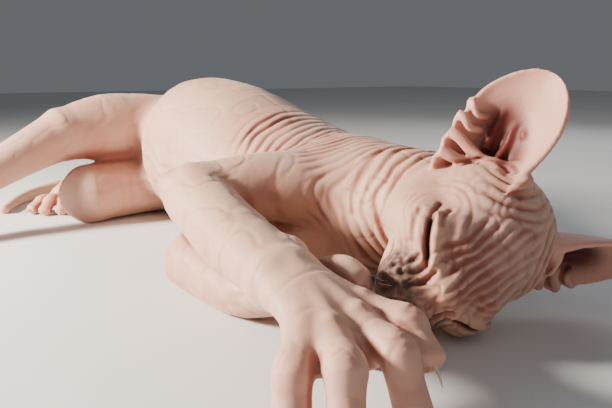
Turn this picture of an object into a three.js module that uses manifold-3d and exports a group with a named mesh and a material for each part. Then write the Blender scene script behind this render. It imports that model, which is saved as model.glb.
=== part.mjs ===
// Sphynx cat asleep on its left side, a life-size still model.
// Millimetres. +X runs to the head, +Y to the back, -Y to the belly, +Z is up (the cat's right side).
// The origin is on the floor, under the chest, on the flat that the flank rests on.

import * as THREE from 'three';
import { mergeVertices } from 'three/addons/utils/BufferGeometryUtils.js';
import Module from 'manifold-3d';

const wasm = await Module();
wasm.setup();

// Gap kept between two nodes that touch
const GAP = 0.3;

// Trunk, as sections: centre x, y, z, then half height and half depth
const TRUNK = [
  [84, -2, 52, 34, 34],
  [58, -4, 49, 40, 40],
  [30, -2, 44.5, 45.5, 50],
  [-10, -3, 45, 46.5, 57],
  [-60, -8, 51.5, 53, 60],
  [-110, -14, 59.5, 61, 61],
  [-160, -16, 62, 63.5, 58],
  [-200, -8, 55.5, 57, 50],
  [-240, 4, 50.5, 52, 44],
  [-272, 11, 41, 43, 34],
  [-292, 14, 37, 27, 24],
];
const NECK_FRONT = [
  [30, -2, 45, 44, 47],
  [54, -4, 48.5, 40.5, 41],
  [74, -5, 52, 36, 37],
  [94, -3, 53, 34, 35],
  [108, 3, 53, 30, 31],
];
const NECK_SPLIT_X = 52;
const NECK_FOLD_PITCH = 8.5;
const NECK_FOLD_HEIGHT = 0.9;

// Head: place of its middle, its size against the drawing of it below, and its three directions
const HEAD_AT = new THREE.Vector3(130, -18, 43.5);
const HEAD_SCALE = 1.06;
const NOSE_WAY = new THREE.Vector3(0.4, -0.87, -0.288).normalize();
const CROWN_WAY = new THREE.Vector3(0.893, 0.299, 0.337);

// Forelegs: joint centres, with half height and half depth of the limb there
const SHOULDER_R = [36, -18, 61, 22, 32];
const UPPER_ARM_R = [18, -66, 62, 21, 24];
const ELBOW_R = [4, -106, 58, 20, 19];
const FOREARM_R = [58, -114, 48.5, 18.5, 18.5];
const WRIST_R = [115, -117, 40.5, 14, 17];
const SHOULDER_L = [30, -14, 19, 18, 26];
const UPPER_ARM_L = [12, -62, 18, 18, 22];
const ELBOW_L = [-5, -106, 17, 17.5, 18.5];
const FOREARM_L = [54, -103, 13.8, 14, 16];
const WRIST_L = [99, -93, 25, 10.5, 11.5];

// Hind legs, as above
const HIP_R = [-241, -2, 79, 27, 40];
const THIGH_R = [-240, -78, 82, 29, 32];
const KNEE_R = [-236, -121, 77, 22, 23];
const SHANK_R = [-226, -170, 55, 16, 17];
const HOCK_R = [-217, -212, 33, 11.5, 11];
const HIP_L = [-236, -12, 25, 25, 40];
const THIGH_L = [-226, -64, 26, 25.5, 34];
const KNEE_L = [-215, -108, 24.5, 24, 25];
const SHANK_L = [-268, -90, 20, 16, 15];
const HOCK_L = [-318, -70, 17, 12, 10.5];

// Tail: base on the rump, then round to the belly side on the floor
const TAIL = [
  [-282, 14, 34, 13, 13],
  [-312, 12, 24, 11.5, 11.5],
  [-345, -5, 12, 10, 10],
  [-372, -50, 8.3, 8.5, 8.5],
  [-366, -102, 6.8, 7, 7],
  [-334, -142, 5.3, 5.5, 5.5],
  [-292, -165, 3.8, 4, 4],
];
const TAIL_SPLIT_AT = 3;

// Paws: the palm's end, then each toe's root, knuckle and tip, inner toe first
const FOREPAW_R = {
  palm: [[140, -116, 36, 10.5, 20], [156, -118, 30, 9, 23], [167, -120, 23, 7.5, 19]],
  toes: [
    [[150, -101, 35], [170, -95, 33], [184, -97, 24]],
    [[158, -110, 34], [179, -108, 28], [195, -112, 6]],
    [[158, -123, 32], [175, -130, 26], [187, -138, 5.9]],
    [[150, -131, 30], [161.5, -143, 23], [171, -150, 5.8]],
  ],
  size: 8.3,
};
const FOREPAW_L = {
  palm: [[110, -90, 35, 9.5, 9], [122, -89, 39, 9, 9], [130, -89, 37, 8.5, 9]],
  toes: [
    [[129, -87, 36], [137, -87, 28], [141, -88, 4.8]],
    [[129, -89, 36], [136, -89.5, 27], [136, -91, 4.8]],
    [[127, -91, 35], [133, -92, 26], [130, -93.5, 4.8]],
    [[124, -92, 33], [127, -93.5, 25], [123, -95, 4.8]],
  ],
  size: 5.6,
};
const HINDPAW_R = {
  palm: [[-203, -243, 19, 8.5, 10], [-190, -268, 10.5, 8, 14]],
  toes: [
    [[-195, -262, 11], [-187, -285, 10], [-181, -297, 4.8]],
    [[-191, -268, 11], [-179, -290, 11], [-173, -302, 4.8]],
    [[-186, -268, 11], [-169, -286, 11], [-161, -296, 4.8]],
    [[-181, -262, 11], [-163, -274, 10], [-155, -283, 4.8]],
  ],
  size: 6.6,
};
const HINDPAW_L = {
  palm: [[-306, -92, 22, 10, 9.5], [-286, -112, 14, 9, 13]],
  toes: [
    [[-284, -100, 12], [-268, -106, 11], [-258, -110, 4.8]],
    [[-285, -108, 13], [-266, -117, 11.5], [-255, -123, 4.8]],
    [[-288, -113, 12], [-271, -128, 11.5], [-262, -136, 4.8]],
    [[-293, -116, 11], [-281, -134, 10], [-275, -144, 4.8]],
  ],
  size: 6.4,
};

// Toe: height at root and knuckle, then height and width at the tip, as shares of its size
const TOE_HEIGHT = 0.95;
const TOE_TIP_HEIGHT = 0.78;
const TOE_TIP_WIDTH = 0.9;

// Claw: where it bends and where it ends along its length, and the sizes there
const CLAW_LENGTH = 6;
const CLAW_RADIUS = 1.4;
const CLAW_BEND_AT = 0.9;
const CLAW_POINT_AT = 1.55;
const CLAW_BEND_WIDTH = 0.8;
const CLAW_POINT = [0.4, 0.35];
const CLAW_DROP = 1;
const CLAW_FLOOR = 1.2;

// Ear: height, half width of the sheet, thickness, and how far it is rolled at root and tip
const EAR_HEIGHT = 68;
const EAR_HALF_WIDTH = 34;
const EAR_THICKNESS = 2.2;
const EAR_TIP_THICKNESS = 1.32;
const EAR_TAPER = 2.2;
const EAR_TIP_SHARE = 0.03;
const EAR_FOOT_NARROWING = 0.12;
const EAR_ROLL_ROOT = 1.75;
const EAR_ROLL_TIP = 0.75;
const EAR_ROLL_RISE = 1.4;
const EAR_LEAN = 6;
const EAR_RIGHT = {
  side: -1,
  root: new THREE.Vector3(-9, -27, 5),
  up: new THREE.Vector3(-0.5, -0.5, 0.8).normalize(),
  inward: new THREE.Vector3(0.384, 0.603, 0.698),
};
const EAR_LEFT = {
  side: 1,
  root: new THREE.Vector3(-12, 24, 11),
  up: new THREE.Vector3(-0.4, 0.4, 0.8).normalize(),
  inward: new THREE.Vector3(0.384, -0.603, 0.598),
};

// Skin tones
const SKIN = 0xd9b3a1;
const SKIN_SHADE = 0xc99c8b;
const EAR_PINK = 0xe0a796;

const Z_UP = new THREE.Vector3(0, 0, 1);

// Solids

function toSolid(geometry) {
  const bare = geometry.clone();
  bare.deleteAttribute('normal');
  bare.deleteAttribute('uv');
  const merged = mergeVertices(bare, 1e-4);
  const triVerts = [];
  const index = merged.index.array;
  for (let i = 0; i < index.length; i += 3) {
    const [a, b, c] = [index[i], index[i + 1], index[i + 2]];
    if (a !== b && b !== c && c !== a) triVerts.push(a, b, c);
  }
  const mesh = new wasm.Mesh({
    numProp: 3,
    vertProperties: new Float32Array(merged.attributes.position.array),
    triVerts: new Uint32Array(triVerts),
  });
  return new wasm.Manifold(mesh);
}

function largest(solid) {
  const pieces = solid.decompose();
  return pieces.reduce((best, piece) => (piece.volume() > best.volume() ? piece : best));
}

function toGeometry(solid) {
  const mesh = solid.getMesh();
  const geometry = new THREE.BufferGeometry();
  const positions = new Float32Array(mesh.numVert * 3);
  for (let i = 0; i < mesh.numVert; i += 1) {
    for (let axis = 0; axis < 3; axis += 1) {
      positions[i * 3 + axis] = mesh.vertProperties[i * mesh.numProp + axis];
    }
  }
  geometry.setAttribute('position', new THREE.BufferAttribute(positions, 3));
  geometry.setIndex(Array.from(mesh.triVerts));
  return geometry;
}

// A closed skin of rings: place(turn, along) gives each point, turn 0 to 1 round, along 0 to 1
function closedSurface(around, rings, place) {
  const geometry = new THREE.SphereGeometry(1, around, rings);
  const { position, uv } = geometry.attributes;
  for (let i = 0; i < position.count; i += 1) {
    const along = Math.round(uv.getY(i) * 1e4) / 1e4;
    const ring = Math.round((1 - along) * rings);
    const turn = (Math.round(uv.getX(i) * around * 2) / (around * 2)) % 1;
    const point = place(turn, ring / rings);
    position.setXYZ(i, point.x, point.y, point.z);
  }
  return geometry;
}

// Limb: a smooth run of oval sections with rounded ends
const CAP_RINGS = 3;
const END_BULGE = 0.7;

function limb(stations, { around = 16, rings = 14, grow = 0, ripple = null } = {}) {
  const centres = new THREE.CatmullRomCurve3(
    stations.map(([x, y, z]) => new THREE.Vector3(x, y, z)), false, 'centripetal');
  const sizes = new THREE.CatmullRomCurve3(
    stations.map(([, , , high, deep]) => new THREE.Vector3(high, deep, 0)), false, 'centripetal');
  const point = (turn, along) => {
    const ring = Math.round(along * rings);
    const fromEnd = Math.min(ring, rings - ring);
    const onBody = (ring - CAP_RINGS) / (rings - 2 * CAP_RINGS);
    const t = Math.min(Math.max(onBody, 0), 1);
    const centre = centres.getPoint(t);
    const tangent = centres.getTangent(t);
    const size = sizes.getPoint(t);
    let swell = 1;
    if (fromEnd < CAP_RINGS) {
      const tilt = (fromEnd / CAP_RINGS) * (Math.PI / 2);
      const bulge = END_BULGE * Math.min(size.x, size.y) + grow;
      swell = Math.sin(tilt);
      centre.addScaledVector(tangent, (onBody < 0 ? -1 : 1) * bulge * Math.cos(tilt));
    }
    const up = Z_UP.clone().addScaledVector(tangent, -tangent.z).normalize();
    const side = new THREE.Vector3().crossVectors(tangent, up);
    const angle = Math.PI - turn * 2 * Math.PI;
    const extra = grow + (ripple ? ripple(centre, angle) : 0);
    const high = swell * (size.x + extra);
    const deep = swell * (size.y + extra);
    return centre.addScaledVector(up, high * Math.cos(angle)).addScaledVector(side, deep * Math.sin(angle));
  };
  return toSolid(closedSurface(around, rings, point));
}

function ball(centre, radii, around = 12, rings = 8) {
  return toSolid(closedSurface(around, rings, (turn, along) => {
    const angle = Math.PI - turn * 2 * Math.PI;
    const tilt = along * Math.PI;
    return new THREE.Vector3(
      centre[0] + radii[0] * Math.sin(tilt) * Math.cos(angle),
      centre[1] - radii[1] * Math.sin(tilt) * Math.sin(angle),
      centre[2] - radii[2] * Math.cos(tilt));
  }));
}

// Parting plane at a joint, square to the half angle between the two lengths that meet there
function joint(before, at, after) {
  const place = new THREE.Vector3(...at.slice(0, 3));
  const back = new THREE.Vector3(...before.slice(0, 3)).sub(place).normalize();
  const forth = new THREE.Vector3(...after.slice(0, 3)).sub(place).normalize();
  const normal = back.sub(forth).normalize();
  return { normal, offset: normal.dot(place) };
}

function keepBefore(solid, { normal, offset }) {
  return solid.trimByPlane(normal.toArray(), offset + GAP / 2);
}

function keepAfter(solid, { normal, offset }) {
  return solid.trimByPlane(normal.clone().negate().toArray(), GAP / 2 - offset);
}

function aboveFloor(solid) {
  return solid.trimByPlane([0, 0, 1], 0);
}

// Head, drawn about its middle: x to the nose, y to the left ear, z to the crown
const LEFT_WAY = new THREE.Vector3().crossVectors(CROWN_WAY, NOSE_WAY).normalize();
CROWN_WAY.crossVectors(NOSE_WAY, LEFT_WAY).normalize();
const HEAD_VOLUMES = [
  { at: [-8, 0, 8], radii: [37, 34.5, 34] },
  { at: [18, 0, -3], radii: [28, 27, 24] },
  { at: [38, 0, -12], radii: [15, 15, 12.5] },
  { at: [41, 8, -13], radii: [11.5, 9.5, 9.5], both: true },
  { at: [37, 0, -22], radii: [9, 8.5, 5.5] },
  { at: [16, 0, -22], radii: [26, 17, 11] },
  { at: [3, 24, -12], radii: [19, 14, 17], both: true },
  { at: [20, 25, -4], radii: [13, 9, 9], both: true },
  { at: [30, 0, 6], radii: [18, 8, 8] },
  { at: [50, 0, -6], radii: [4.5, 6.2, 4.5] },
  { at: [22, 15, 15], radii: [10, 8.5, 5], both: true },
  { at: [25, 19, 3], radii: [11.5, 11, 10], both: true },
  { at: [-28, 0, -6], radii: [20, 24, 22] },
];
const BLEND = 7;
const STAR_AT = new THREE.Vector3(10, 0, -3);
const HEAD_REACH = 90;
const REACH_STEPS = 22;

function bothSides(volumes) {
  return volumes.flatMap((volume) => {
    if (!volume.both) return [volume];
    const [x, y, z] = volume.at;
    return [volume, { ...volume, at: [x, -y, z] }];
  });
}

function ellipsoidDistance(point, { at, radii }) {
  const [x, y, z] = [point.x - at[0], point.y - at[1], point.z - at[2]];
  const near = Math.hypot(x / radii[0], y / radii[1], z / radii[2]);
  const slope = Math.hypot(x / radii[0] ** 2, y / radii[1] ** 2, z / radii[2] ** 2);
  return slope === 0 ? -Math.min(...radii) : (near * (near - 1)) / slope;
}

function blendedDistance(point, volumes, blend) {
  return volumes.reduce((sum, volume) => {
    const next = ellipsoidDistance(point, volume);
    const mix = Math.max(blend - Math.abs(sum - next), 0) / blend;
    return Math.min(sum, next) - (mix * mix * blend) / 4;
  }, 1000);
}

const HEAD_PARTS = bothSides(HEAD_VOLUMES);

// Distance from the star point to the head's surface along a way in the head's own drawing
function headReach(way) {
  let inside = 0;
  let outside = HEAD_REACH;
  for (let step = 0; step < REACH_STEPS; step += 1) {
    const middle = (inside + outside) / 2;
    const point = STAR_AT.clone().addScaledVector(way, middle);
    if (blendedDistance(point, HEAD_PARTS, BLEND) < 0) inside = middle;
    else outside = middle;
  }
  return inside;
}

function headToBody(local) {
  return HEAD_AT.clone()
    .addScaledVector(NOSE_WAY, local.x * HEAD_SCALE)
    .addScaledVector(LEFT_WAY, local.y * HEAD_SCALE)
    .addScaledVector(CROWN_WAY, local.z * HEAD_SCALE);
}

// The point of the head's surface in line with a drawn point
function onHead(x, y, z) {
  const way = new THREE.Vector3(x, y, z).sub(STAR_AT).normalize();
  return STAR_AT.clone().addScaledVector(way, headReach(way));
}

const HEAD_AROUND = 34;
const HEAD_RINGS = 28;
const RINGS_TO_NOSE = 1.25;

function headSkin(grow = 0) {
  return toSolid(closedSurface(HEAD_AROUND, HEAD_RINGS, (turn, along) => {
    const tilt = Math.PI * along ** RINGS_TO_NOSE;
    const angle = turn * 2 * Math.PI;
    const way = new THREE.Vector3(
      Math.cos(tilt), Math.sin(tilt) * Math.cos(angle), Math.sin(tilt) * Math.sin(angle));
    return headToBody(STAR_AT.clone().addScaledVector(way, headReach(way) + grow));
  }));
}

// A thin length that runs over the head through drawn points, to be cut away as a groove
function headLine(points, radius, rings = 11) {
  const run = points.map(([x, y, z]) => {
    const place = headToBody(onHead(x, y, z));
    return [place.x, place.y, place.z, radius, radius];
  });
  return limb(run, { around: 5, rings });
}

const mirror = (points) => points.map(([x, y, z]) => [x, -y, z]);
const EYE_SLIT = [[15, 30, 7], [27, 29.5, 7], [36, 23, 5], [40.5, 15, 3]];
const LID_FOLD = [[17, 28, 12.5], [28, 27, 12], [35, 20, 10], [39, 12, 8]];
const MOUTH_LINE = [[52, 0, -16], [48, 5, -20], [42, 11, -20], [34, 17, -18], [26, 20, -16]];
const PHILTRUM = [[55, 0, -8], [54, 0, -12], [51, 0, -18]];
const NOSTRIL = [56, 3.4, -5.5];
const NOSTRIL_RADII = [1.3, 1.3, 1.1];

// Grooves on both sides of the head, each with its radius
const PAIRED_GROOVES = [
  [EYE_SLIT, 1.1],
  [LID_FOLD, 0.8],
  [MOUTH_LINE, 0.9],
];
const PHILTRUM_RADIUS = 0.6;

function head() {
  let solid = headSkin().subtract(headLine(PHILTRUM, PHILTRUM_RADIUS, 8));
  for (const [line, radius] of PAIRED_GROOVES) {
    solid = solid.subtract(headLine(line, radius));
    solid = solid.subtract(headLine(mirror(line), radius));
  }
  for (const side of [1, -1]) {
    const place = headToBody(onHead(NOSTRIL[0], side * NOSTRIL[1], NOSTRIL[2]));
    solid = solid.subtract(ball(place.toArray(), NOSTRIL_RADII, 8, 6));
  }
  return solid;
}

// Ear: a thin sheet rolled into a cup, opening forward and outward
const EAR_ACROSS = 10;
const EAR_TALL = 9;
const EAR_BELOW = 0.16;
const ROWS_TO_TIP = 1.5;

function earPoint({ side, root, up, inward }, across, tall, shift) {
  const sideways = inward.clone().addScaledVector(up, -inward.dot(up)).normalize();
  const behind = new THREE.Vector3().crossVectors(up, sideways).multiplyScalar(-side);
  const height = -EAR_BELOW + (1 + EAR_BELOW) * tall;
  const level = Math.max(height, 0);
  const narrow = Math.sqrt(Math.max(1 - level ** EAR_TAPER, 0));
  const foot = 1 - EAR_FOOT_NARROWING * (1 - level);
  const halfWidth = EAR_HALF_WIDTH * Math.max(narrow, EAR_TIP_SHARE) * foot;
  const roll = EAR_ROLL_ROOT + (EAR_ROLL_TIP - EAR_ROLL_ROOT) * Math.min(level * EAR_ROLL_RISE, 1);
  const radius = halfWidth / roll;
  const angle = across * roll;
  const lean = EAR_LEAN * level * level;
  return root.clone()
    .addScaledVector(up, EAR_HEIGHT * height)
    .addScaledVector(sideways, (radius + shift) * Math.sin(angle))
    .addScaledVector(behind, (radius + shift) * Math.cos(angle) - radius * Math.cos(roll) + lean);
}

function ear(shape) {
  const { side } = shape;
  const front = [];
  const back = [];
  const positions = [];
  const faces = [];
  const place = (point) => {
    const spot = headToBody(point);
    positions.push(spot.x, spot.y, spot.z);
    return positions.length / 3 - 1;
  };
  for (let row = 0; row <= EAR_TALL; row += 1) {
    const tall = 1 - (1 - row / EAR_TALL) ** ROWS_TO_TIP;
    const half = (EAR_THICKNESS + (EAR_TIP_THICKNESS - EAR_THICKNESS) * tall) / 2;
    front.push([]);
    back.push([]);
    for (let column = 0; column <= EAR_ACROSS; column += 1) {
      const across = (column / EAR_ACROSS) * 2 - 1;
      front[row].push(place(earPoint(shape, across, tall, -half)));
      back[row].push(place(earPoint(shape, across, tall, half)));
    }
  }
  const face = (a, b, c) => (side < 0 ? faces.push(a, b, c) : faces.push(a, c, b));
  const quad = (a, b, c, d) => {
    face(a, b, c);
    face(a, c, d);
  };
  for (let row = 0; row < EAR_TALL; row += 1) {
    for (let column = 0; column < EAR_ACROSS; column += 1) {
      quad(front[row][column], front[row][column + 1], front[row + 1][column + 1], front[row + 1][column]);
      quad(back[row][column], back[row + 1][column], back[row + 1][column + 1], back[row][column + 1]);
    }
    quad(front[row][0], front[row + 1][0], back[row + 1][0], back[row][0]);
    const last = EAR_ACROSS;
    quad(front[row][last], back[row][last], back[row + 1][last], front[row + 1][last]);
  }
  for (let column = 0; column < EAR_ACROSS; column += 1) {
    const top = EAR_TALL;
    quad(front[0][column], back[0][column], back[0][column + 1], front[0][column + 1]);
    quad(front[top][column], front[top][column + 1], back[top][column + 1], back[top][column]);
  }
  const geometry = new THREE.BufferGeometry();
  geometry.setAttribute('position', new THREE.BufferAttribute(new Float32Array(positions), 3));
  geometry.setIndex(faces);
  return toSolid(geometry).subtract(headSkin(GAP)).subtract(trunkRoom);
}

// Paw: palm, four toes and their claws, joined into one solid
function paw(ankle, { palm, toes, size }, planes) {
  let solid = limb([ankle, ...palm], { around: 14, rings: 12 });
  for (const [root, knuckle, tip] of toes) {
    solid = solid.add(limb([
      [...root, size * TOE_HEIGHT, size],
      [...knuckle, size * TOE_HEIGHT, size],
      [...tip, size * TOE_TIP_HEIGHT, size * TOE_TIP_WIDTH],
    ], { around: 8, rings: 9 }));
    solid = solid.add(claw(knuckle, tip));
  }
  for (const plane of planes) solid = keepAfter(solid, plane);
  return solid;
}

function claw(knuckle, tip) {
  const start = new THREE.Vector3(...tip);
  const way = start.clone().sub(new THREE.Vector3(...knuckle)).normalize();
  const middle = start.clone().addScaledVector(way, CLAW_LENGTH * CLAW_BEND_AT);
  const point = start.clone().addScaledVector(way, CLAW_LENGTH * CLAW_POINT_AT);
  middle.z = Math.max(middle.z, CLAW_RADIUS + CLAW_DROP);
  point.z = Math.max(point.z - CLAW_DROP, CLAW_FLOOR);
  return limb([
    [...start.toArray(), CLAW_RADIUS, CLAW_RADIUS],
    [...middle.toArray(), CLAW_RADIUS, CLAW_RADIUS * CLAW_BEND_WIDTH],
    [...point.toArray(), ...CLAW_POINT],
  ], { around: 5, rings: 7 });
}

// Whole animal

function neckRipple(centre) {
  return NECK_FOLD_HEIGHT * Math.sin((centre.x / NECK_FOLD_PITCH) * 2 * Math.PI);
}

const trunkShape = (grow = 0) => limb(TRUNK, { around: 26, rings: 26, grow });
const neckPlane = {
  normal: new THREE.Vector3(-1, 0, 0),
  offset: -NECK_SPLIT_X,
};

const torso = keepBefore(trunkShape(), neckPlane);
const neckShape = (grow = 0) => limb(NECK_FRONT, { around: 24, rings: 30, ripple: neckRipple, grow });
const neck = keepAfter(neckShape(), neckPlane).subtract(headSkin(GAP));
const trunkRoom = trunkShape(GAP).add(neckShape(GAP));

function leg(top, joints, footJoint, toe) {
  const [upper, bend, lower, end] = joints;
  const bendPlane = joint(upper, bend, lower);
  const endPlane = joint(lower, end, footJoint);
  const first = keepBefore(limb([top, upper, bend], { around: 14, rings: 14 }), bendPlane).subtract(trunkRoom);
  const second = keepBefore(keepAfter(limb([bend, lower, end], { around: 14, rings: 13 }), bendPlane), endPlane);
  const third = paw(end, toe, [endPlane]);
  return [first, second, third];
}

const foreR = leg(SHOULDER_R, [UPPER_ARM_R, ELBOW_R, FOREARM_R, WRIST_R], FOREPAW_R.palm[0], FOREPAW_R);
const foreL = leg(SHOULDER_L, [UPPER_ARM_L, ELBOW_L, FOREARM_L, WRIST_L], FOREPAW_L.palm[0], FOREPAW_L);
const hindR = leg(HIP_R, [THIGH_R, KNEE_R, SHANK_R, HOCK_R], HINDPAW_R.palm[0], HINDPAW_R);
const hindL = leg(HIP_L, [THIGH_L, KNEE_L, SHANK_L, HOCK_L], HINDPAW_L.palm[0], HINDPAW_L);

const tailWhole = limb(TAIL, { around: 10, rings: 28 }).subtract(trunkRoom);
const tailPlane = joint(TAIL[TAIL_SPLIT_AT - 1], TAIL[TAIL_SPLIT_AT], TAIL[TAIL_SPLIT_AT + 1]);

const NODES = [
  ['torso', torso, SKIN],
  ['neck', neck, SKIN],
  ['head', head(), SKIN],
  ['ear_right', ear(EAR_RIGHT), EAR_PINK],
  ['ear_left', ear(EAR_LEFT), EAR_PINK],
  ['tail_base', keepBefore(tailWhole, tailPlane), SKIN_SHADE],
  ['tail_tip', keepAfter(tailWhole, tailPlane), SKIN_SHADE],
  ['foreleg_right_upper', foreR[0], SKIN],
  ['foreleg_right_lower', foreR[1], SKIN],
  ['forepaw_right', foreR[2], SKIN_SHADE],
  ['foreleg_left_upper', foreL[0], SKIN],
  ['foreleg_left_lower', foreL[1], SKIN],
  ['forepaw_left', foreL[2], SKIN_SHADE],
  ['hindleg_right_thigh', hindR[0], SKIN],
  ['hindleg_right_shank', hindR[1], SKIN],
  ['hindpaw_right', hindR[2], SKIN_SHADE],
  ['hindleg_left_thigh', hindL[0], SKIN],
  ['hindleg_left_shank', hindL[1], SKIN],
  ['hindpaw_left', hindL[2], SKIN_SHADE],
];

const cat = new THREE.Group();
for (const [name, solid, colour] of NODES) {
  const material = new THREE.MeshStandardMaterial({ color: colour, roughness: 0.6, metalness: 0 });
  const mesh = new THREE.Mesh(toGeometry(largest(aboveFloor(solid))), material);
  mesh.name = name;
  cat.add(mesh);
}

export default cat;
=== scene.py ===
"""Looks of a sphynx cat asleep on its left side.

One bare skin covers the whole animal. It is drawn in millimetres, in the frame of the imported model:
+X to the head, +Y to the back, -Y to the belly, +Z up. Blender's own unit is the metre.
"""
import math

import bpy
import numpy as np
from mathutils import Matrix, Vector
from mathutils.kdtree import KDTree


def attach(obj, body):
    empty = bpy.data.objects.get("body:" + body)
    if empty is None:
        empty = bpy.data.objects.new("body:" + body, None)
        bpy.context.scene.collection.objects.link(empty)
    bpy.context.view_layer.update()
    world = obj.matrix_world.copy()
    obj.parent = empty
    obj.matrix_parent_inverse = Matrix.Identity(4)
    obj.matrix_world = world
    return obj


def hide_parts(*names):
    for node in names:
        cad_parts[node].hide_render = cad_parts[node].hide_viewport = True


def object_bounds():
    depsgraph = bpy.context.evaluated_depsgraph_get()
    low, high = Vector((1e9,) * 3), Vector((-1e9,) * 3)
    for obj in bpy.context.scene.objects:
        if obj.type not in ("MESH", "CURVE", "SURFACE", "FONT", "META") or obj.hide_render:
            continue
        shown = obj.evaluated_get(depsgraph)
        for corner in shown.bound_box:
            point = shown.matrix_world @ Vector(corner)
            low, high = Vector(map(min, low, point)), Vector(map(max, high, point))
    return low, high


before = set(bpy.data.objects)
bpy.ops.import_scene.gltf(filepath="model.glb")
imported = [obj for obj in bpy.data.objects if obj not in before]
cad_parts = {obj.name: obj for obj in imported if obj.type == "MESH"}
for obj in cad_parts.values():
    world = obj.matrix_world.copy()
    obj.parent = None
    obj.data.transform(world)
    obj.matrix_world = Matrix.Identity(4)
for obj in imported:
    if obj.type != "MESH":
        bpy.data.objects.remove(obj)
CAD_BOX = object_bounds()

MM = 0.001
SEED = 11

# Trunk and neck, as sections: centre x, y, z, then half height and half depth
TRUNK = [
    (-292, 14, 37, 27, 24),
    (-272, 11, 41, 43, 34),
    (-240, 4, 50.5, 52, 44),
    (-200, -8, 55.5, 57, 50),
    (-160, -16, 62, 63.5, 58),
    (-110, -14, 59.5, 61, 61),
    (-60, -8, 51.5, 53, 60),
    (-10, -3, 45, 46.5, 57),
    (30, -2, 44.5, 45.5, 50),
    (54, -4, 48.5, 40.5, 41),
    (74, -5, 52, 36, 37),
    (94, -3, 53, 34, 35),
    (108, 3, 53, 30, 31),
]

# Legs, as above, from the trunk to the ankle. The third station is the elbow or the knee
BEND = 2
FORELEG_R = [
    (36, -18, 61, 22, 32), (18, -66, 62, 21, 24), (4, -106, 58, 20, 19),
    (58, -114, 48.5, 18.5, 18.5), (115, -117, 40.5, 14, 17),
]
FORELEG_L = [
    (30, -14, 19, 18, 26), (12, -62, 18, 18, 22), (-5, -106, 17, 17.5, 18.5),
    (54, -103, 13.8, 14, 16), (99, -93, 25, 10.5, 11.5),
]
HINDLEG_R = [
    (-241, -2, 79, 27, 40), (-240, -78, 82, 29, 32), (-236, -121, 77, 22, 23),
    (-226, -170, 55, 16, 17), (-217, -212, 33, 11.5, 11),
]
HINDLEG_L = [
    (-236, -12, 25, 25, 40), (-226, -64, 26, 25.5, 34), (-215, -108, 24.5, 24, 25),
    (-268, -90, 20, 16, 15), (-318, -70, 17, 12, 10.5),
]
TAIL = [
    (-282, 14, 34, 13, 13),
    (-312, 12, 24, 11.5, 11.5),
    (-345, -5, 12, 10, 10),
    (-372, -50, 8.3, 8.5, 8.5),
    (-366, -102, 6.8, 7, 7),
    (-334, -142, 5.3, 5.5, 5.5),
    (-292, -165, 3.8, 4, 4),
]

# Paws: sections of the palm past the ankle, then root, knuckle and tip of each toe, inner toe first
FOREPAW_R = {
    "palm": [(140, -116, 36, 10.5, 20), (156, -118, 30, 9, 23), (167, -120, 23, 7.5, 19)],
    "toes": [
        [(150, -101, 35), (170, -95, 33), (184, -97, 24)],
        [(158, -110, 34), (179, -108, 28), (195, -112, 6)],
        [(158, -123, 32), (175, -130, 26), (187, -138, 5.9)],
        [(150, -131, 30), (161.5, -143, 23), (171, -150, 5.8)],
    ],
    "size": 8.3,
}
FOREPAW_L = {
    "palm": [(110, -90, 35, 9.5, 9), (122, -89, 39, 9, 9), (130, -89, 37, 8.5, 9)],
    "toes": [
        [(129, -87, 36), (137, -87, 28), (141, -88, 4.8)],
        [(129, -89, 36), (136, -89.5, 27), (136, -91, 4.8)],
        [(127, -91, 35), (133, -92, 26), (130, -93.5, 4.8)],
        [(124, -92, 33), (127, -93.5, 25), (123, -95, 4.8)],
    ],
    "size": 5.6,
}
HINDPAW_R = {
    "palm": [(-203, -243, 19, 8.5, 10), (-190, -268, 10.5, 8, 14)],
    "toes": [
        [(-195, -262, 11), (-187, -285, 10), (-181, -297, 4.8)],
        [(-191, -268, 11), (-179, -290, 11), (-173, -302, 4.8)],
        [(-186, -268, 11), (-169, -286, 11), (-161, -296, 4.8)],
        [(-181, -262, 11), (-163, -274, 10), (-155, -283, 4.8)],
    ],
    "size": 6.6,
}
HINDPAW_L = {
    "palm": [(-306, -92, 22, 10, 9.5), (-286, -112, 14, 9, 13)],
    "toes": [
        [(-284, -100, 12), (-268, -106, 11), (-258, -110, 4.8)],
        [(-285, -108, 13), (-266, -117, 11.5), (-255, -123, 4.8)],
        [(-288, -113, 12), (-271, -128, 11.5), (-262, -136, 4.8)],
        [(-293, -116, 11), (-281, -134, 10), (-275, -144, 4.8)],
    ],
    "size": 6.4,
}
PAWS = (FOREPAW_R, FOREPAW_L, HINDPAW_R, HINDPAW_L)

# Head: place of its middle, its size against the drawing below, its ways to nose, left ear and crown
HEAD_AT = np.array([130.0, -18.0, 43.5])
HEAD_SCALE = 1.06
NOSE_WAY = np.array([0.4, -0.87, -0.288])
CROWN_WAY = np.array([0.893, 0.299, 0.337])
NOSE_WAY = NOSE_WAY / np.linalg.norm(NOSE_WAY)
LEFT_WAY = np.cross(CROWN_WAY, NOSE_WAY)
LEFT_WAY = LEFT_WAY / np.linalg.norm(LEFT_WAY)
CROWN_WAY = np.cross(NOSE_WAY, LEFT_WAY)
HEAD_AXES = np.stack([NOSE_WAY, LEFT_WAY, CROWN_WAY])

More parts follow.
